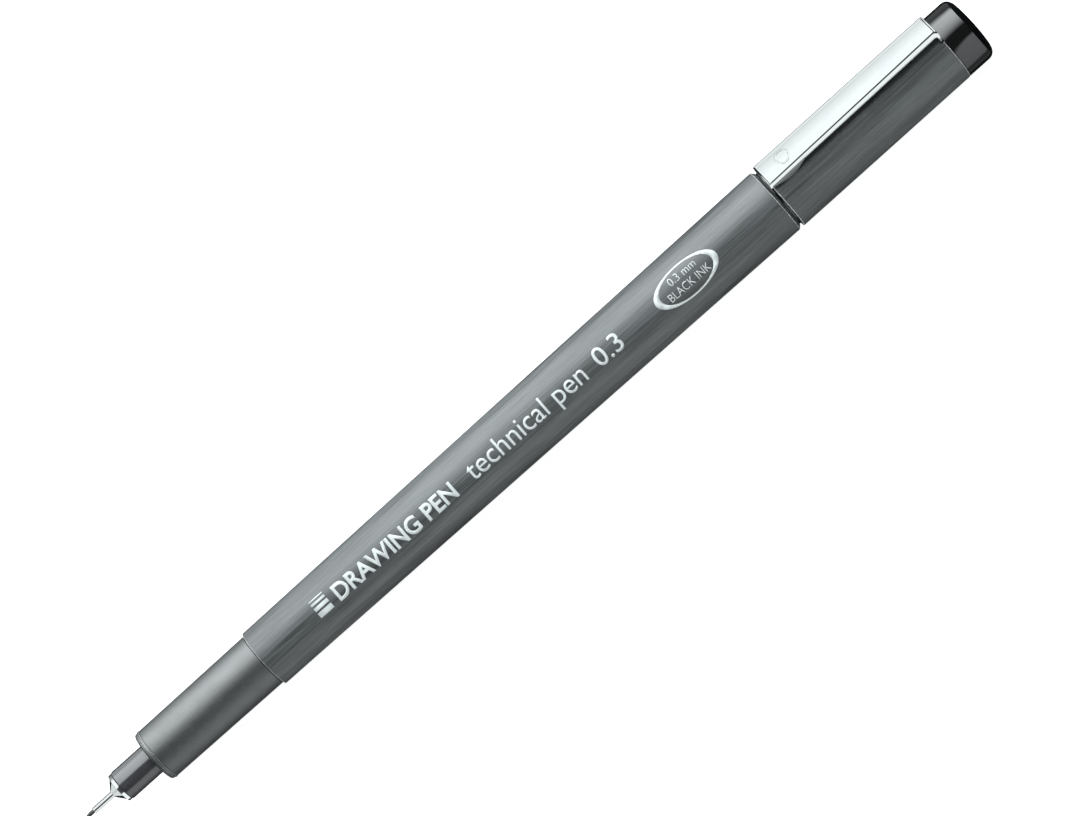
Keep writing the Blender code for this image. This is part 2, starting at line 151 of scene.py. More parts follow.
def rounded(corners):
    """The points of an outline, and the surface number of the stretch after each point.

    Each corner is (x, radius, rounding, surface number of the rounded corner); the last two may be left out.
    """
    corners = [Corner(*corner) for corner in corners]
    places = [Vector((corner.x, corner.radius)) for corner in corners]
    points, numbers = [], []
    for i, (corner, here) in enumerate(zip(corners, places)):
        if corner.rounding == 0.0:
            points.append(here)
            numbers.append(0)
            continue
        before = places[i - 1] - here
        after = places[(i + 1) % len(places)] - here
        half = before.angle(after) / 2
        setback = min(corner.rounding / math.tan(half), 0.49 * before.length, 0.49 * after.length)
        middle = (before.normalized() + after.normalized()).normalized()
        centre = here + middle * (setback / math.cos(half))
        start = here + before.normalized() * setback - centre
        end = here + after.normalized() * setback - centre
        for step in range(ARC_STEPS + 1):
            points.append(centre + start.slerp(end, step / ARC_STEPS) * start.length)
            numbers.append(corner.number if step < ARC_STEPS else 0)
    return points, numbers


def turned(name, corners, body, nodes, surfaces):
    """A piece turned about the pen's axis from the corners of its outline."""
    points, numbers = rounded(corners)
    on_axis = points[0].y == 0.0
    bm = bmesh.new()
    rings = []
    for point in points:
        if point.y == 0.0:
            rings.append([bm.verts.new((point.x, 0.0, AXIS.z))] * SIDES)
            continue
        ring = []
        for i in range(SIDES):
            angle = 2 * math.pi * i / SIDES
            y = point.y * math.sin(angle)
            z = AXIS.z + point.y * math.cos(angle)
            ring.append(bm.verts.new((point.x, y, z)))
        rings.append(ring)
    stretches = list(zip(rings, rings[1:], numbers))
    if not on_axis:
        stretches.append((rings[-1], rings[0], numbers[-1]))
    for ring, following, number in stretches:
        for i in range(SIDES):
            j = (i + 1) % SIDES
            loop = [ring[i], ring[j], following[j], following[i]]
            face = bm.faces.new(dict.fromkeys(loop))
            face.material_index = number
    bmesh.ops.recalc_face_normals(bm, faces=bm.faces)
    return show(as_mesh(name, bm), name, body, nodes, surfaces)


def build_nib(surface):
    """The fibre nib, slightly tapered to its rounded tip."""
    front, rear, radius = reach("fibre_nib")
    taper = 0.60 * MM
    corners = [
        (front, 0.0),
        (front, NIB_POINT, 0.12 * MM),
        (front + taper, radius, 0.3 * MM),
        (rear, radius),
        (rear, 0.0),
    ]
    turned("nib_rod", corners, "barrel", ["fibre_nib"], [surface])


def build_nib_tube(surface):
    """The steel tube round the nib."""
    front, rear, radius = reach("nib_tube")
    bore = radius - 0.11 * MM
    rounding = 0.04 * MM
    corners = [(front, bore, rounding / 2), (front, radius, rounding), (rear, radius), (rear, bore)]
    return turned("nib_sleeve", corners, "barrel", ["nib_tube"], [surface])


def build_nib_cone(surface):
    """A steep cone, then a short rim that stands a little proud of it."""
    front, rear, radius = reach("nib_cone")
    bore = reach("nib_tube")[2] + SLIP / 2
    rim_rear = reach("nib_holder")[0] - SLIP
    rim_front = rim_rear - 0.50 * MM
    corners = [
        (front, bore),
        (front, bore + 0.14 * MM, 0.05 * MM),
        (rim_front, radius - 0.22 * MM, 0.03 * MM),
        (rim_front, radius, 0.05 * MM),
        (rim_rear, radius, 0.03 * MM),
        (rim_rear, CONE_STEM_RADIUS),
        (rear, CONE_STEM_RADIUS),
        (rear, bore),
    ]
    return turned("cone_mount", corners, "barrel", ["nib_cone"], [surface])


def build_nib_holder(surface):
    """A plain front that shows, a collar that rests in the grip, and a narrower tail."""
    front, rear, collar_radius = reach("nib_holder")
    collar = front + COLLAR_SETBACK
    stem_bore = CONE_STEM_RADIUS + SLIP
    stem_end = front + CONE_STEM_LENGTH + SLIP
    corners = [
        (front, stem_bore, 0.03 * MM),
        (front, HOLDER_RADIUS, 0.10 * MM),
        (collar, HOLDER_RADIUS),
        (collar, collar_radius, 0.05 * MM),
        (collar + COLLAR_LENGTH, collar_radius, 0.05 * MM),
        (collar + COLLAR_LENGTH, HOLDER_TAIL_RADIUS),
        (rear, HOLDER_TAIL_RADIUS, 0.10 * MM),
        (rear, WICK_BORE),
        (stem_end, WICK_BORE),
        (stem_end, stem_bore),
    ]
    turned("holder", corners, "barrel", ["nib_holder"], [surface])


def build_grip(surface, edge):
    """The grip tapers gently. Its front is well rounded, with a fine bead behind the rounding."""
    front, rear, radius = reach("grip_section")
    barrel_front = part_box("barrel")[0].x
    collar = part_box("nib_holder")[0].x + COLLAR_SETBACK - SLIP
    nose_bore = HOLDER_RADIUS + 1.5 * SLIP
    rear_bore = reach("nib_holder")[2] + SLIP
    front_radius = radius - GRIP_TAPER
    groove = 0.04 * MM
    bead_radius = front_radius + groove
    bead_front, bead_rear = front + 0.46 * MM, front + 0.76 * MM
    corners = [
        (front, nose_bore, 0.15 * MM),
        (front, front_radius - 0.10 * MM, 0.35 * MM),
        (bead_front - groove, front_radius - groove, 0.03 * MM),
        # The bead's rounded corners get the pale edge material: a painted highlight.
        (bead_front, bead_radius, 0.03 * MM, 1),
        (bead_rear, bead_radius, 0.03 * MM, 1),
        (bead_rear + groove, front_radius - groove, 0.02 * MM),
        (bead_rear + 3 * groove, front_radius, 0.05 * MM),
        (barrel_front - 4 * groove, radius, 0.05 * MM),
        (barrel_front - 3 * groove, radius - 4 * groove, 0.03 * MM),
        (barrel_front - SLIP, radius - 4 * groove),
        (barrel_front - SLIP, GRIP_SPIGOT_RADIUS),
        (rear, GRIP_SPIGOT_RADIUS, 0.15 * MM),
        (rear, rear_bore),
        (collar, rear_bore),
        (collar, nose_bore),
    ]
    turned("grip", corners, "barrel", ["grip_section"], [surface, edge])


def build_barrel(surface, edge):
    """The barrel widens towards a chamfer at its rear, and both its ends have a painted highlight on their
    rounded edges.
    """
    front, rear, radius = reach("barrel")
    narrow = radius - BARREL_TAPER
    grip_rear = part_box("grip_section")[1].x + 5 * SLIP
    plug_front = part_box("barrel_end_plug")[0].x - SLIP
    socket = GRIP_SPIGOT_RADIUS + SLIP
    plug_bore = CAP_BORE - 2 * SLIP
    corners = [
        (front, socket, 0.05 * MM),
        # The rounded corners at both ends get the pale edge material: a painted highlight.
        (front, narrow, 0.07 * MM, 1),
        (rear - BARREL_CHAMFER, radius, 0.12 * MM, 1),
        (rear, radius - BARREL_CHAMFER, 0.05 * MM),
        (rear, plug_bore, 0.05 * MM),
        (plug_front, plug_bore),
        (plug_front, BARREL_BORE),
        (grip_rear, BARREL_BORE),
        (grip_rear, socket),
    ]
    turned("barrel_tube", corners, "barrel", ["barrel"], [surface, edge])


def build_spigot(surface):
    """The barrel's end plug: a thin flange shows behind the barrel, and the cap is posted on the spigot."""
    front, rear, flange_radius = reach("barrel_end_plug")
    cavity = SPIGOT_RADIUS - 0.85 * MM
    cavity_end = rear - 1.2 * MM
    flange_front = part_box("barrel")[1].x + SLIP
    flange_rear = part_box("cap_shell")[0].x - SLIP
    flange_edge = flange_radius - 0.15 * MM
    bead = rear - 7.05 * MM
    bead_radius = SPIGOT_RADIUS + SPIGOT_BEAD
    dimple = rear - 0.25 * MM
    corners = [
        (cavity_end, 0.0),
        (cavity_end, cavity, 0.2 * MM),
        (front, cavity),
        (front, SPIGOT_RADIUS, 0.1 * MM),
        (flange_front, SPIGOT_RADIUS),
        (flange_front, flange_edge, 0.04 * MM),
        (flange_rear, flange_edge, 0.04 * MM),
        (flange_rear, SPIGOT_RADIUS),
        (bead, SPIGOT_RADIUS, 0.2 * MM),
        (bead + 0.2 * MM, bead_radius, 0.2 * MM),
        (bead + 0.8 * MM, bead_radius, 0.2 * MM),
        (bead + 1.0 * MM, SPIGOT_RADIUS, 0.2 * MM),
        (rear, SPIGOT_RADIUS, 0.55 * MM),
        (rear, 1.10 * MM, 0.08 * MM),
        (dimple, 1.00 * MM, 0.08 * MM),
        (dimple, 0.0),
    ]
    turned("posting_plug", corners, "barrel", ["barrel_end_plug"], [surface])


def build_inner_seal(surface):
    """A cup that takes the nib holder, with a flange that the cap's web holds."""
    mouth, rear, flange_radius = reach("cap_inner_seal")
    bore, radius = 2.29 * MM, 2.72 * MM
    cup_end = rear - 0.5 * MM
    flange_front = rear - 7.35 * MM
    flange_rear = flange_front + 1.05 * MM
    corners = [
        (cup_end, 0.0),
        (cup_end, bore, 0.4 * MM),
        (mouth, bore, 0.18 * MM),
        (mouth, radius, 0.18 * MM),
        (flange_front, radius),
        (flange_front, flange_radius, 0.05 * MM),
        (flange_rear, flange_radius, 0.05 * MM),
        (flange_rear, radius),
        (rear, radius, 0.4 * MM),
        (rear, 0.0),
    ]
    turned("seal_cup", corners, "cap_seal", ["cap_inner_seal"], [surface])


def build_cap_shell(surface, edge):
    """The cap's shell, with a web inside for the seal and a notch in its tail for the clip's root."""
    rim, tail, radius = reach("cap_shell")
    web_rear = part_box("cap_inner_seal")[1].x - 7.40 * MM
    web_front = web_rear - 0.9 * MM
    web_bore = 2.82 * MM
    corners = [
        (rim, CAP_BORE, 0.15 * MM),
        # The rounded corners at the rim and the tail get the pale edge material: a painted highlight.
        (rim, radius, 0.12 * MM, 1),
        (tail, radius - CAP_TAPER, 0.10 * MM, 1),
        (tail, CAP_BORE, 0.05 * MM),
        (web_rear, CAP_BORE),
        (web_rear, web_bore),
        (web_front, web_bore),
        (web_front, CAP_BORE),
    ]
    shell = turned("cap_tube", corners, "cap", ["cap_shell"], [surface, edge])
    notch_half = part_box("clip_root")[1].y + 2 * SLIP
    notch_front = tail - 0.45 * MM
    inside_bore, beyond_tail = AXIS.z + 2 * MM, tail + 1 * MM
    low = Vector((notch_front, -notch_half, inside_bore))
    high = Vector((beyond_tail, notch_half, AXIS.z + 2 * radius))
    cut_box(shell, low, high)


def cut_box(piece, low, high):
    """Cuts a box out of a piece for good."""
    bm = bmesh.new()
    bmesh.ops.create_cube(bm, size=1.0, matrix=Matrix.LocRotScale((low + high) / 2, None, high - low))
    cutter = add_object("cutter", as_mesh("cutter", bm))
    modifier = piece.modifiers.new("cut", "BOOLEAN")
    modifier.object = cutter
    bpy.context.view_layer.update()
    graph = bpy.context.evaluated_depsgraph_get()
    result = bpy.data.meshes.new_from_object(piece.evaluated_get(graph))
    piece.modifiers.clear()
    piece.data = result
    result.set_sharp_from_angle(angle=SHARP_ANGLE)
    bpy.data.objects.remove(cutter)


def build_cap_plug(surface):
    """A rounded end that shows, and a hollow stem that goes into the cap round the seal."""
    front, rear, radius = reach("cap_end_plug")
    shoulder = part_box("cap_shell")[1].x + SLIP
    stem_radius = CAP_BORE - SLIP
    cavity = 2.85 * MM
    cavity_end = rear - 1.3 * MM
    corners = [
        (cavity_end, 0.0),
        (cavity_end, cavity),
        (front, cavity),
        (front, stem_radius),
        (shoulder, stem_radius),
        (shoulder, radius, 0.06 * MM),
        (rear, radius, 1.10 * MM),
        (rear, 0.0),
    ]
    turned("cap_button", corners, "cap", ["cap_end_plug"], [surface])


# The clip


CLIP_WALL = 0.32 * MM
CLIP_SIDE_ROLL = 0.28 * MM  # radius of the rolled edge along the face's sides
CLIP_FRONT_DROP = 0.40 * MM  # how far the face's ends roll down
CLIP_TAIL_DROP = 0.62 * MM
CLIP_CORNER = 0.40 * MM  # from the face's flat core to its flanges
CLIP_SQUARENESS = 0.85  # of the upright corners: 0 is round and 1 is sharp
CLIP_FRONT_DEPTH = 0.91 * MM
CLIP_TAIL_DEPTH = 1.17 * MM
CLIP_CROWN = 0.14 * MM
CLIP_RISE = 0.51 * MM  # from the clip's front to its tail
CLIP_NARROWING = 0.26 * MM  # of each half, from its front to its tail
ROOT_SPREAD = 0.14 * MM  # of each side, at the foot of the root plate
LOBE_START = 0.10 * MM  # behind the clip's front, as are the next two
LOBE_LOWEST = 3.25 * MM
LOBE_END = 5.85 * MM
LOBE_DEPTH = 1.10 * MM
LOBE_POINT = 1.4  # 1 would make the lobe round, and more makes it pointed
LOBE_LEAN = 0.05  # towards the middle, as a share of its depth


class ClipShape:
    """The clip's outline from above, and its heights, from its two CAD nodes."""

    def __init__(self):
        arm_low, arm_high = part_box("clip_arm")
        root_low, root_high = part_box("clip_root")
        self.front = arm_low.x
        self.tail = root_high.x
        self.top = root_high.z
        self.plate_low = root_low.z + CLIP_WALL
        self.front_half = arm_high.y

    def share(self, x):
        """How far a place is from the clip's front to its tail."""
        return (x - self.front) / (self.tail - self.front)

    def half(self, x):
        """Half the clip's width, inside its upright corners."""
        return self.front_half - CLIP_NARROWING * self.share(x) - CLIP_CORNER

    def height(self, x, y):
        """How high the crowned outer face is."""
        crown = CLIP_CROWN * (y / self.front_half) ** 2
        return self.top - CLIP_RISE * (1 - self.share(x)) - crown

    def depth(self, x):
        """How far the flanges reach down, without the lobe."""
        return CLIP_FRONT_DEPTH + (CLIP_TAIL_DEPTH - CLIP_FRONT_DEPTH) * self.share(x)

    def lobe(self, x):
        """How far the flange reaches down into the lobe that presses on the cap."""
        along = x - self.front
        if not LOBE_START < along < LOBE_END:
            return 0.0
        if along < LOBE_LOWEST:
            share = (along - LOBE_START) / (LOBE_LOWEST - LOBE_START)
        else:
            share = (LOBE_END - along) / (LOBE_END - LOBE_LOWEST)
        return LOBE_DEPTH * math.sin(share * math.pi / 2) ** LOBE_POINT


def clip_edge(shape):
    """The points round the clip's flat core, each with its direction outwards, seen from above."""
    lengthwise, crosswise, fan = 110, 12, 6
    front, tail = shape.front + CLIP_CORNER, shape.tail - CLIP_CORNER
    stations = [front + (tail - front) * i / lengthwise for i in range(lengthwise + 1)]
    across = [2 * i / crosswise - 1 for i in range(crosswise + 1)]

    def corner(x, side, start, end):
        points = []
        for i in range(fan + 1):
            turn = math.radians(start + (end - start) * i / fan)
            stretch = max(abs(math.cos(turn)), abs(math.sin(turn))) ** -CLIP_SQUARENESS
            out = (stretch * math.cos(turn), stretch * math.sin(turn))
            points.append(((x, side * shape.half(x)), out))
        return points

    edge = [((x, shape.half(x)), (0.0, 1.0)) for x in reversed(stations)]
    edge += corner(front, 1, 90, 180)
    edge += [((front, -t * shape.half(front)), (-1.0, 0.0)) for t in across]
    edge += corner(front, -1, 180, 270)
    edge += [((x, -shape.half(x)), (0.0, -1.0)) for x in stations]
    edge += corner(tail, -1, -90, 0)
    edge += [((tail, t * shape.half(tail)), (1.0, 0.0)) for t in across]
    edge += corner(tail, 1, 0, 90)
    return edge, stations, across


def at_root(out):
    """Whether this part of the edge turns down into the root plate, at the clip's tail."""
    return out[0] > 0.2


def clip_profile(shape, at, out):
    """How the sheet runs over the clip's edge and back under it, as (outwards, down) steps."""
    x, y = at
    root = at_root(out)
    depth = shape.height(x, y) - shape.plate_low if root else shape.depth(x)
    lobe = 0.0 if root else shape.lobe(x) * min(1.0, abs(out[1]))
    endwise = min(1.0, abs(out[0]))
    end_drop = CLIP_TAIL_DROP if root else CLIP_FRONT_DROP
    roll = CLIP_SIDE_ROLL + (CLIP_CORNER - CLIP_SIDE_ROLL) * endwise
    drop = CLIP_SIDE_ROLL + (end_drop - CLIP_SIDE_ROLL) * endwise
    roll_steps = 8
    steps = [(0.0, 0.0)]
    for i in range(roll_steps + 1):
        turn = math.pi / 2 * i / roll_steps
        steps.append((CLIP_CORNER - roll + roll * math.sin(turn), drop * (1 - math.cos(turn))))
    inside = CLIP_CORNER - CLIP_WALL
    below_roll = CLIP_TAIL_DROP + 0.05 * MM
    lean = LOBE_LEAN * lobe
    steps += [
        (CLIP_CORNER, below_roll),
        (CLIP_CORNER, depth),
        (CLIP_CORNER - lean, depth + lobe),
        (inside - lean, depth + lobe),
        (inside, depth),
        (inside, below_roll),
        (inside, CLIP_WALL),
        (0.0, CLIP_WALL),
    ]
    return steps


def root_spread(out, down):
    """How far the root plate's side has moved outwards, this far below the face."""
    if not at_root(out):
        return 0.0
    return ROOT_SPREAD * max(0.0, min(1.0, down / CLIP_TAIL_DEPTH - 0.5))


def add_clip_sides(bm, shape, edge):
    """The sheet round the clip's flat core: over its edge, down the flanges and back up inside."""
    columns = []
    for at, out in edge:
        column = []
        for outwards, down in clip_profile(shape, at, out):
            y = at[1] + out[1] * outwards + math.copysign(root_spread(out, down), at[1])
            column.append(bm.verts.new((at[0] + out[0] * outwards, y, shape.height(*at) - down)))
        columns.append(column)
    for column, following in zip(columns, columns[1:] + columns[:1]):
        for k in range(len(column) - 1):
            bm.faces.new((column[k], following[k], following[k + 1], column[k + 1]))


def build_clip(surface):
    """The clip is one pressed sheet: a crowned face, upright flanges, two lobes and a root plate."""
    shape = ClipShape()
    edge, stations, across = clip_edge(shape)
    bm = bmesh.new()
    add_clip_sides(bm, shape, edge)
    for down in (0.0, CLIP_WALL):
        rows = []
        for x in stations:
            places = [t * shape.half(x) for t in across]
            rows.append([bm.verts.new((x, y, shape.height(x, y) - down)) for y in places])
        join_rows(bm, rows)
    bmesh.ops.remove_doubles(bm, verts=bm.verts, dist=0.0001 * MM)
    bmesh.ops.recalc_face_normals(bm, faces=bm.faces)
    mesh = as_mesh("pocket_clip", bm)
    clip = show(mesh, "pocket_clip", None, ["clip_arm", "clip_root"], [surface])
    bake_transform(clip)
    return [clip, build_clip_ring(shape, surface)]


def build_clip_ring(shape, surface):
    """A plain raised ring near the clip's free end."""
    centre_x = shape.front + 3.7 * MM
    ring_radius, half_width, height = 0.95 * MM, 0.13 * MM, 0.05 * MM
    around, across = 64, 8
    bm = bmesh.new()
    loops = []
    for i in range(around):
        angle = 2 * math.pi * i / around
        loop = []
        for k in range(across):
            turn = 2 * math.pi * k / across
            outwards = ring_radius + half_width * math.cos(turn)
            x = centre_x + outwards * math.cos(angle)
            y = outwards * math.sin(angle)
            loop.append(bm.verts.new((x, y, shape.height(x, y) + height * math.sin(turn))))
        loops.append(loop)
    for loop, following in zip(loops, loops[1:] + loops[:1]):
        for k in range(across):
            j = (k + 1) % across
            bm.faces.new((loop[k], following[k], following[j], loop[j]))
    bmesh.ops.recalc_face_normals(bm, faces=bm.faces)
    return show(as_mesh("clip_ring", bm), "clip_ring", "clip", [], [surface])


# The print on the barrel


PRINT_HEIGHT = 0.012 * MM  # above the barrel
PRINT_DEPTH = 0.03 * MM
PRINT_BASELINE = -1.08 * MM  # round the barrel, from the camera's side
PRINT_SLICE = 0.12 * MM  # widest face round the barrel, so that the print bends with it


def printed(name, bm, surface):
    """Wraps flat print round the barrel. Its x is along the pen, and its y goes round towards the clip."""
    front, rear, widest = reach("barrel")
    taper_end = rear - BARREL_CHAMFER
    low = min(vert.co.y for vert in bm.verts)
    high = max(vert.co.y for vert in bm.verts)
    for i in range(1, math.ceil((high - low) / PRINT_SLICE)):
        geometry = [*bm.verts, *bm.edges, *bm.faces]
        at = (0.0, low + i * PRINT_SLICE, 0.0)
        bmesh.ops.bisect_plane(bm, geom=geometry, plane_co=at, plane_no=(0.0, 1.0, 0.0))
    bmesh.ops.triangulate(bm, faces=bm.faces)
    bmesh.ops.recalc_face_normals(bm, faces=bm.faces)
    if bm.faces and sum(face.normal.z for face in bm.faces) < 0:
        bmesh.ops.reverse_faces(bm, faces=bm.faces)
    for vert in bm.verts:
        x, y = vert.co.x, vert.co.y
        radius = widest - BARREL_TAPER * (taper_end - x) / (taper_end - front)
        vert.co = AXIS + Vector((x, 0.0, 0.0)) + round_pen(y / radius) * (radius + PRINT_HEIGHT)
    piece = show(as_mesh(name, bm), name, "barrel", [], [surface])
    solid = piece.modifiers.new("thickness", "SOLIDIFY")
    solid.thickness = PRINT_DEPTH
    solid.offset = -1.0


def words_mesh(words, start, length, cap_height, weight):
    """Flat lettering in Blender's own font, stretched to a length. A weight above 0 makes it bolder."""
    cap_share = 0.729  # height of a capital in a font of size 1
    curve = bpy.data.curves.new("words", "FONT")
    curve.body = words
    curve.size = cap_height / cap_share
    curve.offset = weight
    curve.resolution_u = 6
    holder = add_object("words", curve)
    bpy.context.view_layer.update()
    graph = bpy.context.evaluated_depsgraph_get()
    mesh = bpy.data.meshes.new_from_object(holder.evaluated_get(graph))
    bm = bmesh.new()
    bm.from_mesh(mesh)
    bpy.data.objects.remove(holder)
    bpy.data.meshes.remove(mesh)
    bmesh.ops.remove_doubles(bm, verts=bm.verts, dist=0.0005 * MM)
    low = min(vert.co.x for vert in bm.verts)
    high = max(vert.co.x for vert in bm.verts)
    stretch = length / (high - low)
    for vert in bm.verts:
        vert.co.x = start + (vert.co.x - low) * stretch
    return bm


def build_lettering(surface):
    """Generic words and the nib's line width."""
    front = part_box("barrel")[0].x
    # Name, words, and in millimetres: start, length, height of a capital, weight, height above the baseline.
    lines = (
        ("print_kind", "DRAWING PEN", 12.75, 20.4, 2.36, 0.075, 0.0),
        ("print_type", "technical pen", 35.7, 19.7, 2.86, 0.0, 0.0),
        ("print_width", "0.3", 57.4, 4.25, 2.67, 0.02, 0.0),
        ("print_size", "0.3 mm", 70.9, 4.3, 1.16, -0.012, 1.75),
        ("print_ink", "BLACK INK", 69.7, 6.7, 1.18, -0.012, 0.10),
    )
    for name, words, start, length, cap_height, weight, raised in lines:
        bm = words_mesh(words, front + start * MM, length * MM, cap_height * MM, weight * MM)
        for vert in bm.verts:
            vert.co.y += PRINT_BASELINE + raised * MM
        printed(name, bm, surface)


def build_line_samples(surface):
    """Four bars of growing weight, the sign for a set of line widths."""
    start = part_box("barrel")[0].x + 9.4 * MM
    length, gap = 2.25 * MM, 0.30 * MM
    bm = bmesh.new()
    y = PRINT_BASELINE
    for weight in (0.75 * MM, 0.50 * MM, 0.32 * MM, 0.16 * MM):
        corners = [(start, y), (start + length, y), (start + length, y + weight), (start, y + weight)]
        bm.faces.new([bm.verts.new((*corner, 0.0)) for corner in corners])
        y += weight + gap
    printed("print_bars", bm, surface)


def build_print_ring(surface):
    """An oval ring, thicker at its two ends."""
    centre_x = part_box("barrel")[0].x + 72.95 * MM
    centre_y = 0.12 * MM
    outer, inner = (5.13 * MM, 2.38 * MM), (4.25 * MM, 2.17 * MM)  # half length and half height
    around = 120
    bm = bmesh.new()
    rings = []
    for half_length, half_height in (outer, inner):
        turns = [2 * math.pi * i / around for i in range(around)]
        rings.append([
            bm.verts.new((centre_x + half_length * math.cos(t), centre_y + half_height * math.sin(t), 0.0))
            for t in turns
        ])
    for i in range(around):
        j = (i + 1) % around
        bm.faces.new((rings[0][i], rings[0][j], rings[1][j], rings[1][i]))
    printed("print_ring", bm, surface)


# Materials


NOISE_RANGE = (0.3, 0.7)  # nearly all of a noise's values lie in it


class Surface:
    """A Principled material that is built up node by node."""

    def __init__(self, name, colour, roughness, metallic=0.0):
        self.material = bpy.data.materials.new(name)
        self.material.use_nodes = True
        self.tree = self.material.node_tree
        self.shader = self.tree.nodes["Principled BSDF"]
        self.shader.inputs["Base Color"].default_value = (*colour, 1.0)
        self.shader.inputs["Roughness"].default_value = roughness
        self.shader.inputs["Metallic"].default_value = metallic
        self.place = self.tree.nodes.new("ShaderNodeTexCoord").outputs["Object"]

    def link(self, output, target):
        self.tree.links.new(output, target)

    def noise(self, size, detail):
        """Noise whose grain has this size along X, Y and Z."""
        scaled = self.tree.nodes.new("ShaderNodeMapping")
        scaled.inputs["Scale"].default_value = [1 / length for length in size]
        self.link(self.place, scaled.inputs["Vector"])
        noise = self.tree.nodes.new("ShaderNodeTexNoise")
        noise.inputs["Scale"].default_value = 1.0
        noise.inputs["Detail"].default_value = detail
        noise.inputs["Roughness"].default_value = 0.55
        self.link(scaled.outputs["Vector"], noise.inputs["Vector"])
        return noise.outputs["Fac"]

    def scaled(self, value, low, high, out_low, out_high):
        """The value mapped from one range to another, and kept inside it."""
        mapping = self.tree.nodes.new("ShaderNodeMapRange")
        limits = {"From Min": low, "From Max": high, "To Min": out_low, "To Max": out_high}
        for name, number in limits.items():
            mapping.inputs[name].default_value = number
        self.link(value, mapping.inputs["Value"])
        return mapping.outputs["Result"]

    def mixed(self, value, first, second):
        """A colour between two others."""
        mix = self.tree.nodes.new("ShaderNodeMix")
        mix.data_type = "RGBA"
        mix.inputs["A"].default_value = (*first, 1.0)
        mix.inputs["B"].default_value = (*second, 1.0)
        self.link(value, mix.inputs["Factor"])
        return mix.outputs["Result"]

    def added(self, first, second, share):
        """first and second mixed, with this share of the second."""
        mix = self.tree.nodes.new("ShaderNodeMix")
        mix.inputs["Factor"].default_value = share
        self.link(first, mix.inputs["A"])
        self.link(second, mix.inputs["B"])
        return mix.outputs["Result"]

    def paint(self, value, first, second):
        """Gives the surface a colour between two others."""
        self.link(self.mixed(value, first, second), self.shader.inputs["Base Color"])

    def vary_roughness(self, value, low, high):
        """Gives the surface a roughness between two others, from a noise."""
        self.link(self.scaled(value, *NOISE_RANGE, low, high), self.shader.inputs["Roughness"])

    def bump(self, value, height, strength=1.0):
        """Raises the surface by up to this height."""
        bump = self.tree.nodes.new("ShaderNodeBump")
        bump.inputs["Distance"].default_value = height
        bump.inputs["Strength"].default_value = strength
        self.link(value, bump.inputs["Height"])
        self.link(bump.outputs["Normal"], self.shader.inputs["Normal"])


def brushed_grey():
    """Metallic grey plastic with a grain brushed along the pen."""
    made = Surface("brushed_grey", (0.04, 0.044, 0.045), 0.52)
    made.shader.inputs["Specular IOR Level"].default_value = 0.78
    hairs = made.noise((6 * MM, 0.10 * MM, 0.10 * MM), 2.0)
    strokes = made.noise((12 * MM, 0.28 * MM, 0.28 * MM), 3.0)
    bands = made.noise((30 * MM, 1.6 * MM, 1.6 * MM), 2.0)
    grain = made.added(made.added(hairs, strokes, 0.5), bands, 0.3)
    made.paint(made.scaled(grain, 0.41, 0.59, 0.0, 1.0), (0.010, 0.012, 0.013), (0.066, 0.073, 0.075))
    made.vary_roughness(strokes, 0.44, 0.60)
    made.bump(made.added(hairs, strokes, 0.5), 0.035 * MM, 0.9)
    return made.material


def matt_grey():
    """The same grey with a fine moulded texture."""
    made = Surface("matt_grey", (0.025, 0.028, 0.029), 0.38)
    made.shader.inputs["Specular IOR Level"].default_value = 0.95
    grain = made.noise((0.11 * MM,) * 3, 2.0)
    patches = made.noise((1.5 * MM,) * 3, 2.0)
    made.paint(made.scaled(grain, *NOISE_RANGE, 0.0, 1.0), (0.016, 0.018, 0.019), (0.034, 0.037, 0.038))
    made.vary_roughness(patches, 0.34, 0.42)
    made.bump(grain, 0.04 * MM, 0.9)
    return made.material


def edge_highlight_paint():
    """The grey made pale and smooth on an edge: a painted highlight for the light line that the edge
    catches.
    """
    made = Surface("edge_highlight_paint", (0.3, 0.31, 0.31), 0.3)
    highlight_speckle = made.noise((0.5 * MM,) * 3, 3.0)
    made.paint(made.scaled(highlight_speckle, 0.35, 0.6, 0.0, 1.0), (0.20, 0.21, 0.21), (0.42, 0.43, 0.43))
    made.vary_roughness(highlight_speckle, 0.25, 0.4)
    return made.material


def holder_grey():
    """Glossy grey plastic with faint moulding flow."""
    made = Surface("holder_grey", (0.045, 0.045, 0.048), 0.14)
    flow = made.noise((2 * MM, 0.8 * MM, 0.8 * MM), 2.0)
    made.shader.inputs["Specular IOR Level"].default_value = 0.65
    made.paint(flow, (0.024, 0.024, 0.027), (0.040, 0.040, 0.043))
    made.vary_roughness(flow, 0.10, 0.18)
    made.bump(made.noise((0.6 * MM,) * 3, 2.0), 0.002 * MM, 0.5)
    return made.material


def gloss_black():
    """Polished black plastic with the lightest orange peel and a few rubbed spots."""
    made = Surface("gloss_black", (0.002, 0.0023, 0.0023), 0.05)
    made.shader.inputs["Specular IOR Level"].default_value = 0.52
    rubbed = made.noise((1.2 * MM,) * 3, 4.0)
    made.paint(rubbed, (0.0012, 0.0015, 0.0015), (0.003, 0.0034, 0.0034))
    made.vary_roughness(rubbed, 0.035, 0.085)
    made.bump(made.noise((0.9 * MM,) * 3, 1.0), 0.0015 * MM, 0.5)
    return made.material


def chrome():
    """Bright plate on pressed steel, with faint polishing lines."""
    made = Surface("chrome", (0.90, 0.92, 0.92), 0.06, 1.0)
    lines = made.noise((6 * MM, 0.12 * MM, 0.12 * MM), 3.0)
    clouds = made.noise((2.5 * MM,) * 3, 2.0)
    made.paint(clouds, (0.88, 0.90, 0.90), (0.95, 0.96, 0.95))
    made.vary_roughness(lines, 0.03, 0.10)
    made.bump(clouds, 0.002 * MM, 0.4)
    return made.material


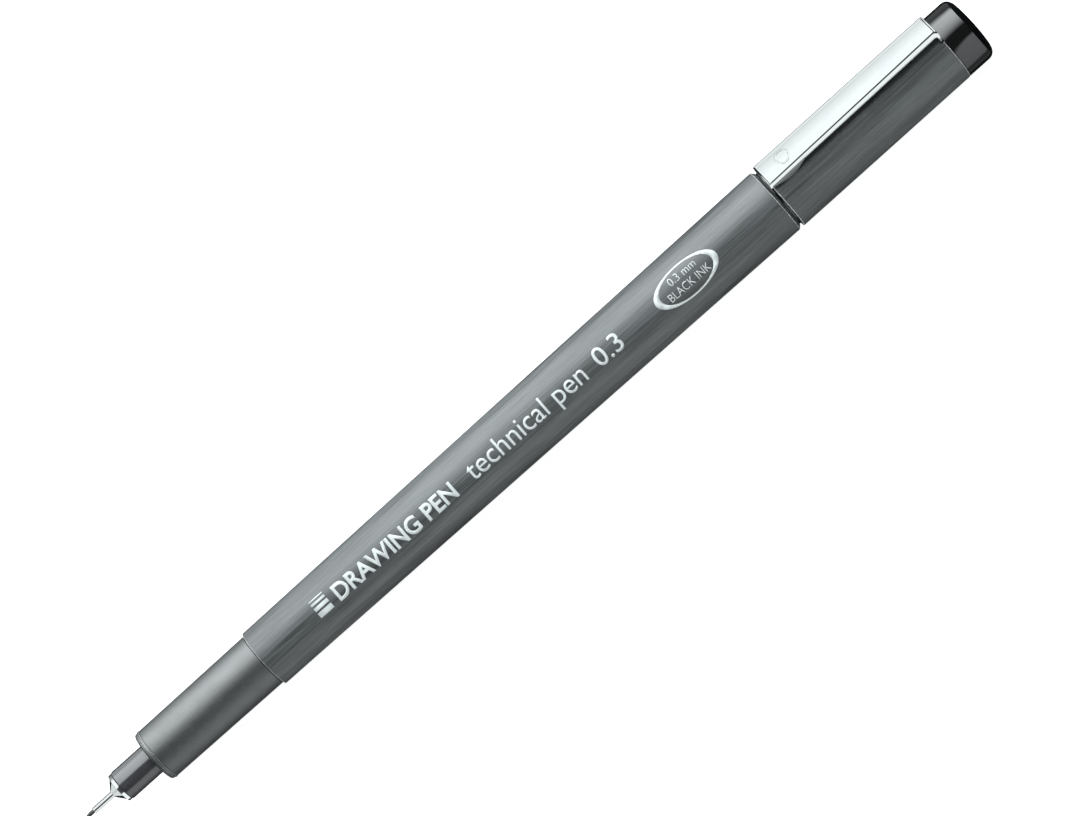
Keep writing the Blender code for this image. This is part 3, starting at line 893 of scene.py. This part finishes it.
def steel():
    """Drawn stainless tube."""
    made = Surface("steel", (0.82, 0.82, 0.82), 0.10, 1.0)
    lines = made.noise((3 * MM, 0.05 * MM, 0.05 * MM), 3.0)
    made.paint(lines, (0.72, 0.72, 0.72), (0.92, 0.92, 0.91))
    made.vary_roughness(lines, 0.06, 0.14)
    made.bump(lines, 0.003 * MM, 0.5)
    return made.material


def nib_black():
    """Bonded fibre, dark with ink."""
    made = Surface("nib_black", (0.02, 0.02, 0.02), 0.6)
    fibres = made.noise((0.8 * MM, 0.04 * MM, 0.04 * MM), 3.0)
    made.paint(fibres, (0.008, 0.008, 0.009), (0.045, 0.045, 0.045))
    made.vary_roughness(fibres, 0.4, 0.7)
    made.bump(fibres, 0.01 * MM, 0.7)
    return made.material


def natural_plastic():
    """Unpigmented polyethylene, a little waxy."""
    made = Surface("natural_plastic", (0.72, 0.72, 0.68), 0.4)
    made.shader.inputs["Subsurface Weight"].default_value = 0.3
    made.shader.inputs["Subsurface Scale"].default_value = 0.5 * MM
    clouds = made.noise((1.5 * MM,) * 3, 3.0)
    made.paint(clouds, (0.64, 0.64, 0.60), (0.78, 0.78, 0.75))
    made.vary_roughness(clouds, 0.34, 0.5)
    made.bump(clouds, 0.006 * MM, 0.4)
    return made.material


def ink_fibre():
    """A bundle of ink-soaked fibres that run along the pen."""
    made = Surface("ink_fibre", (0.03, 0.03, 0.035), 0.9)
    fibres = made.noise((4 * MM, 0.06 * MM, 0.06 * MM), 4.0)
    made.paint(fibres, (0.012, 0.012, 0.016), (0.06, 0.06, 0.07))
    made.vary_roughness(fibres, 0.8, 0.95)
    made.bump(fibres, 0.03 * MM)
    return made.material


def clear_film():
    """Thin clear film with faint stretch marks."""
    made = Surface("clear_film", (0.7, 0.72, 0.74), 0.25)
    made.shader.inputs["Alpha"].default_value = 0.4
    marks = made.noise((6 * MM, 0.3 * MM, 0.3 * MM), 3.0)
    made.paint(marks, (0.62, 0.65, 0.68), (0.78, 0.80, 0.82))
    made.vary_roughness(marks, 0.18, 0.35)
    made.bump(marks, 0.005 * MM, 0.4)
    return made.material


def print_ink():
    """Pale pad-printed ink, with the brushed grain just showing in it."""
    made = Surface("print_ink", (0.50, 0.53, 0.53), 0.5)
    specks = made.noise((0.9 * MM, 0.10 * MM, 0.10 * MM), 2.0)
    made.paint(made.scaled(specks, *NOISE_RANGE, 0.0, 1.0), (0.44, 0.47, 0.47), (0.56, 0.59, 0.59))
    made.vary_roughness(specks, 0.42, 0.58)
    return made.material


def dress_hidden_nodes():
    """The pieces inside keep their CAD shape and get their materials."""
    fibre = ink_fibre()
    tube = natural_plastic()
    film = clear_film()
    for node, surface in (
        ("feed_wick", fibre),
        ("reservoir_core", fibre),
        ("reservoir_wrap", film),
        ("breather_tube", tube),
    ):
        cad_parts[node].data.materials.clear()
        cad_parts[node].data.materials.append(surface)


# The studio


# Its glow round the pen, in steps of (angle in degrees from the camera's side, glow): once as the nib's end
# reflects it, and once as the tail does. A big softbox is above, a table below, and a dark gap between.
GLOW_BY_NIB = (
    (-135, 0.2), (-116, 0.3), (-104, 1.0), (-84, 1.6), (-60, 1.6), (-52, 0.1),
    (12, 0.1), (15, 1.5), (20, 5.0), (40, 6.0), (64, 6.3), (82, 6.4), (99, 2.6), (125, 1.6), (140, 0.3),
)
GLOW_BY_TAIL = (
    (-135, 0.2), (-108, 0.2), (-98, 1.3), (-70, 1.9), (-22, 2.2), (-14, 0.1),
    (21, 0.1), (28, 2.0), (36, 4.2), (48, 7.0), (64, 9.0), (84, 9.0), (94, 4.5), (102, 0.5), (140, 0.4),
)
# The same for the bright metal, which would only show white in that softbox.
METAL_GLOW_BY_NIB = (
    (-135, 0.1), (-124, 0.3), (-116, 1.0), (-48, 1.0), (-38, 0.04),
    (4, 0.04), (12, 1.05), (66, 1.05), (78, 0.9), (92, 0.4), (140, 0.12),
)
METAL_GLOW_BY_TAIL = (
    (-135, 0.1), (-130, 0.4), (-124, 0.95), (-52, 0.95), (-42, 0.02),
    (32, 0.02), (42, 1.06), (62, 1.05), (74, 0.82), (86, 0.40), (140, 0.2),
)
STUDIO_RADIUS = 600 * MM
METAL_STUDIO_RADIUS = 610 * MM  # a ray that meets two sheets in one place would miss one of them
STUDIO_ENDS = (-380 * MM, 350 * MM)  # from the nib's side to the tail's
METAL_STUDIO_ENDS = (-300 * MM, 200 * MM)
REFLECTED_ENDS = (-165 * MM, 135 * MM)  # where the pen's two ends reflect the studio
STUDIO_TINT = (0.95, 1.0, 1.01, 1.0)
GLOW_LAYER = "glow"  # the points' layer that holds how strongly a sheet glows there
NIB_CARD = (-550 * MM, 0.75)  # place along the pen, and glow
TAIL_CARD = (550 * MM, 0.95)
CARD_HALF = 400 * MM
FLOOR_HALF = 1500 * MM
FLOOR_DROP = 0.05 * MM  # below the pen, so that the two don't meet in one plane


def blend_steps(first, second, share):
    """Steps of (angle, glow) between two others."""
    return [tuple(a + (b - a) * share for a, b in zip(*pair)) for pair in zip(first, second)]


def glow_at(steps, angle):
    """The glow at an angle, between the steps on either side of it."""
    for (start, dark), (end, bright) in zip(steps, steps[1:]):
        if start <= angle <= end:
            return dark + (bright - dark) * (angle - start) / (end - start)
    return steps[-1][1]


def build_surround(name, by_nib, by_tail, radius, ends):
    """A glowing sheet bent round the pen. Light goes through it, so one can stand behind another."""
    lengthwise, around = 12, 270
    first, last = by_nib[0][0], by_nib[-1][0]
    bm = bmesh.new()
    glow = bm.verts.layers.float.new(GLOW_LAYER)
    rows = []
    for i in range(lengthwise + 1):
        x = ends[0] + (ends[1] - ends[0]) * i / lengthwise
        share = (x - REFLECTED_ENDS[0]) / (REFLECTED_ENDS[1] - REFLECTED_ENDS[0])
        steps = blend_steps(by_nib, by_tail, max(0.0, min(1.0, share)))
        row = []
        for k in range(around + 1):
            angle = first + (last - first) * k / around
            vert = bm.verts.new(AXIS + Vector((x, 0.0, 0.0)) + round_pen(math.radians(angle)) * radius)
            vert[glow] = glow_at(steps, angle)
            row.append(vert)
        rows.append(row)
    join_rows(bm, rows)
    return studio_piece(name, bm)


def build_end_card(name, x, glow):
    """A pale card across the studio, beyond one end of the pen."""
    bm = bmesh.new()
    low, high = -CARD_HALF, CARD_HALF
    corners = [(low, low), (high, low), (high, high), (low, high)]
    bm.faces.new([bm.verts.new((x, y, AXIS.z + z)) for y, z in corners])
    layer = bm.verts.layers.float.new(GLOW_LAYER)
    for vert in bm.verts:
        vert[layer] = glow
    return studio_piece(name, bm)


def glowing(name):
    """A clear material that glows as strongly as the mesh's glow layer says."""
    material = bpy.data.materials.new(name)
    material.use_nodes = True
    tree = material.node_tree
    tree.nodes.clear()
    strength = tree.nodes.new("ShaderNodeAttribute")
    strength.attribute_name = GLOW_LAYER
    glow = tree.nodes.new("ShaderNodeEmission")
    glow.inputs["Color"].default_value = STUDIO_TINT
    clear = tree.nodes.new("ShaderNodeBsdfTransparent")
    both = tree.nodes.new("ShaderNodeAddShader")
    output = tree.nodes.new("ShaderNodeOutputMaterial")
    tree.links.new(strength.outputs["Fac"], glow.inputs["Strength"])
    tree.links.new(glow.outputs["Emission"], both.inputs[0])
    tree.links.new(clear.outputs["BSDF"], both.inputs[1])
    tree.links.new(both.outputs["Shader"], output.inputs["Surface"])
    return material


def studio_piece(name, bm):
    """A glowing piece that lights and is reflected, but isn't seen by the camera itself."""
    mesh = as_mesh(name, bm)
    mesh.materials.append(glowing(name))
    piece = add_object(name, mesh)
    piece.visible_camera = False
    return piece


def light_metal(panels, metal, state):
    """Lets panels light the bright metal only (INCLUDE), or everything else only (EXCLUDE)."""
    receivers = bpy.data.collections.new(f"metal_{state.lower()}")
    for piece in metal:
        receivers.objects.link(piece)
    for entry in receivers.collection_objects:
        entry.light_linking.link_state = state
    for panel in panels:
        panel.light_linking.receiver_collection = receivers


def build_floor():
    """A pale table top. Part of its brightness is its own, which keeps the pen's shadow faint."""
    bm = bmesh.new()
    bmesh.ops.create_grid(bm, x_segments=1, y_segments=1, size=FLOOR_HALF)
    floor = add_object("floor", as_mesh("floor", bm))
    floor.location.z = -FLOOR_DROP
    floor.visible_glossy = False
    surface = Surface("floor_white", (0.3, 0.3, 0.3), 0.9)
    surface.shader.inputs["Specular IOR Level"].default_value = 0.0
    surface.shader.inputs["Emission Color"].default_value = (1.0, 1.0, 1.0, 1.0)
    surface.shader.inputs["Emission Strength"].default_value = 0.95
    floor.data.materials.append(surface.material)


def build_world():
    """White where the camera sees it, and dim where the pen reflects it."""
    world = bpy.data.worlds.new("studio")
    bpy.context.scene.world = world
    world.use_nodes = True
    tree = world.node_tree
    background = tree.nodes["Background"]
    path = tree.nodes.new("ShaderNodeLightPath")
    mix = tree.nodes.new("ShaderNodeMix")
    mix.data_type = "RGBA"
    mix.inputs["A"].default_value = (0.018, 0.02, 0.021, 1.0)
    mix.inputs["B"].default_value = (1.0, 1.0, 1.0, 1.0)
    tree.links.new(path.outputs["Is Camera Ray"], mix.inputs["Factor"])
    tree.links.new(mix.outputs["Result"], background.inputs["Color"])


def build_lights(metal):
    """One glowing sheet and two end cards for the bright metal, and another sheet for everything else."""
    surround = build_surround("surround", GLOW_BY_NIB, GLOW_BY_TAIL, STUDIO_RADIUS, STUDIO_ENDS)
    light_metal([surround], metal, "EXCLUDE")
    metal_surround = build_surround(
        "metal_surround", METAL_GLOW_BY_NIB, METAL_GLOW_BY_TAIL, METAL_STUDIO_RADIUS, METAL_STUDIO_ENDS
    )
    nib_card = build_end_card("nib_card", *NIB_CARD)
    tail_card = build_end_card("tail_card", *TAIL_CARD)
    light_metal([metal_surround, nib_card, tail_card], metal, "INCLUDE")


def place_camera():
    """Puts the camera where the photo's stood, as far as the pen's edges tell."""
    data = bpy.data.cameras.new("camera")
    data.sensor_width = 36.0
    data.lens = LENS
    camera = add_object("camera", data)
    bpy.context.scene.camera = camera
    pen = Vector((1.0, 0.0, 0.0))
    across = round_pen(math.pi / 2)
    stand = AXIS + pen * CAMERA_FOOT + round_pen(0.0) * CAMERA_DISTANCE
    aim = AXIS + pen * CAMERA_AIM[0] + across * CAMERA_AIM[1]
    back = (stand - aim).normalized()
    right = pen * math.cos(PEN_SLOPE) - across * math.sin(PEN_SLOPE)
    right = (right - back * right.dot(back)).normalized()
    up = back.cross(right)
    camera.matrix_world = Matrix.Translation(stand) @ Matrix((right, up, back)).transposed().to_4x4()


def build_pen():
    """Builds every piece of the pen, and gives back the ones of bright metal."""
    # edge is the pale material that paints a highlight on rounded edges.
    grey, edge, ink = brushed_grey(), edge_highlight_paint(), print_ink()
    bright, black, natural = chrome(), gloss_black(), natural_plastic()
    build_nib(nib_black())
    metal = [build_nib_tube(steel()), build_nib_cone(bright)]
    build_nib_holder(holder_grey())
    build_grip(matt_grey(), edge)
    build_barrel(grey, edge)
    build_spigot(black)
    build_inner_seal(natural)
    build_cap_shell(grey, edge)
    build_cap_plug(black)
    metal += build_clip(bright)
    build_lettering(ink)
    build_line_samples(ink)
    build_print_ring(ink)
    dress_hidden_nodes()
    return metal


bpy.context.scene.view_settings.view_transform = "Standard"
metal_pieces = build_pen()
build_floor()
build_world()
build_lights(metal_pieces)
place_camera()
